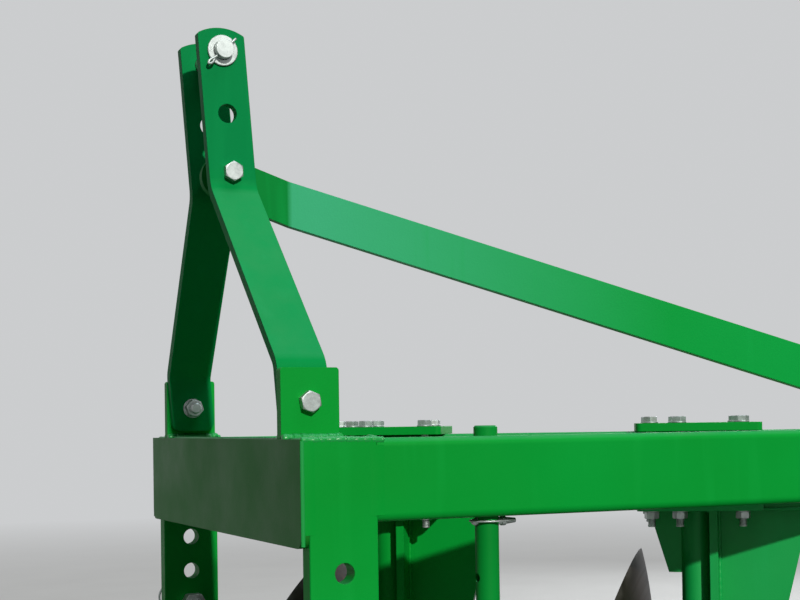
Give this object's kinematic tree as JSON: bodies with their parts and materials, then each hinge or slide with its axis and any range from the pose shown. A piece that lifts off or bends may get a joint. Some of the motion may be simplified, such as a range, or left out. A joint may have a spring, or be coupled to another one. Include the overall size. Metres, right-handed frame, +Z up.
{
  "type": "disc plough",
  "caption": "Mounted disc plough: slanting beam frame with a three-point headstock, dished discs on clamped standards, parking stand and rear furrow wheel.",
  "frame": {"origin": "on the ground under the middle of the machine's reach", "axes": "+X forward along the travel, +Y left, +Z up"},
  "size_m": [1.7736, 1.0423, 1.3555],
  "materials": {
    "frame_green": "gloss enamel, dusty",
    "wheel_green": "worn enamel",
    "plated_steel": "zinc plated",
    "stand_steel": "scuffed enamel",
    "disc_steel": "dark rolled steel",
    "hub_steel": "dark, greasy"
  },
  "bodies": {
    "frame": {"cross_plate": "frame_green", "cross_tube": "frame_green", "hitch_leg_left": "frame_green", "hitch_leg_right": "frame_green", "left_beam": "frame_green", "main_beam": "frame_green", "mast_lug_left": "frame_green", "mast_lug_right": "frame_green", "mast_bar_left": "frame_green", "mast_bar_right": "frame_green", "brace": "frame_green", "brace_lug": "frame_green", "clamp_plate_1": "frame_green", "clamp_plate_2": "frame_green", "clamp_plate_3": "frame_green", "brace_spacers": "frame_green", "disc_standard_1": "frame_green", "disc_standard_2": "frame_green", "disc_standard_3": "frame_green", "tail_sleeve": "frame_green", "lower_pin_left": "plated_steel", "lower_pin_right": "plated_steel", "top_link_pin": "plated_steel"},
    "disc_1": {"disc_blade_1": "disc_steel", "disc_hub_1": "hub_steel"},
    "disc_2": {"disc_blade_2": "disc_steel", "disc_hub_2": "hub_steel"},
    "disc_3": {"disc_blade_3": "disc_steel", "disc_hub_3": "hub_steel"},
    "stand": {"stand_bar": "stand_steel", "stand_foot": "stand_steel"},
    "tail_arm": {"tail_stem": "frame_green", "tail_axle_nut": "plated_steel"},
    "tail_wheel": {"tail_wheel": "wheel_green"}
  },
  "joints": [
    {"name": "disc_1_turn", "type": "hinge", "parent": "frame", "child": "disc_1", "pos_m": [0.664, -0.25395, 0.31107], "axis": [0.7377, -0.5868, 0.3338], "continuous": true},
    {"name": "disc_2_turn", "type": "hinge", "parent": "frame", "child": "disc_2", "pos_m": [0.271, -0.00395, 0.31107], "axis": [0.7377, -0.5868, 0.3338], "continuous": true},
    {"name": "disc_3_turn", "type": "hinge", "parent": "frame", "child": "disc_3", "pos_m": [-0.122, 0.24605, 0.31107], "axis": [0.7377, -0.5868, 0.3338], "continuous": true},
    {"name": "stand_slide", "type": "slide", "parent": "frame", "child": "stand", "axis": [0, 0, 1], "range_m": [0, 0.42]},
    {"name": "tail_arm_slide", "type": "slide", "parent": "frame", "child": "tail_arm", "axis": [0, 0, 1], "range_m": [-0.05, 0.1]},
    {"name": "tail_wheel_turn", "type": "hinge", "parent": "tail_arm", "child": "tail_wheel", "pos_m": [-0.63679, 0.40216, 0.24537], "axis": [0, 0.9781, 0.2079], "continuous": true}
  ]
}
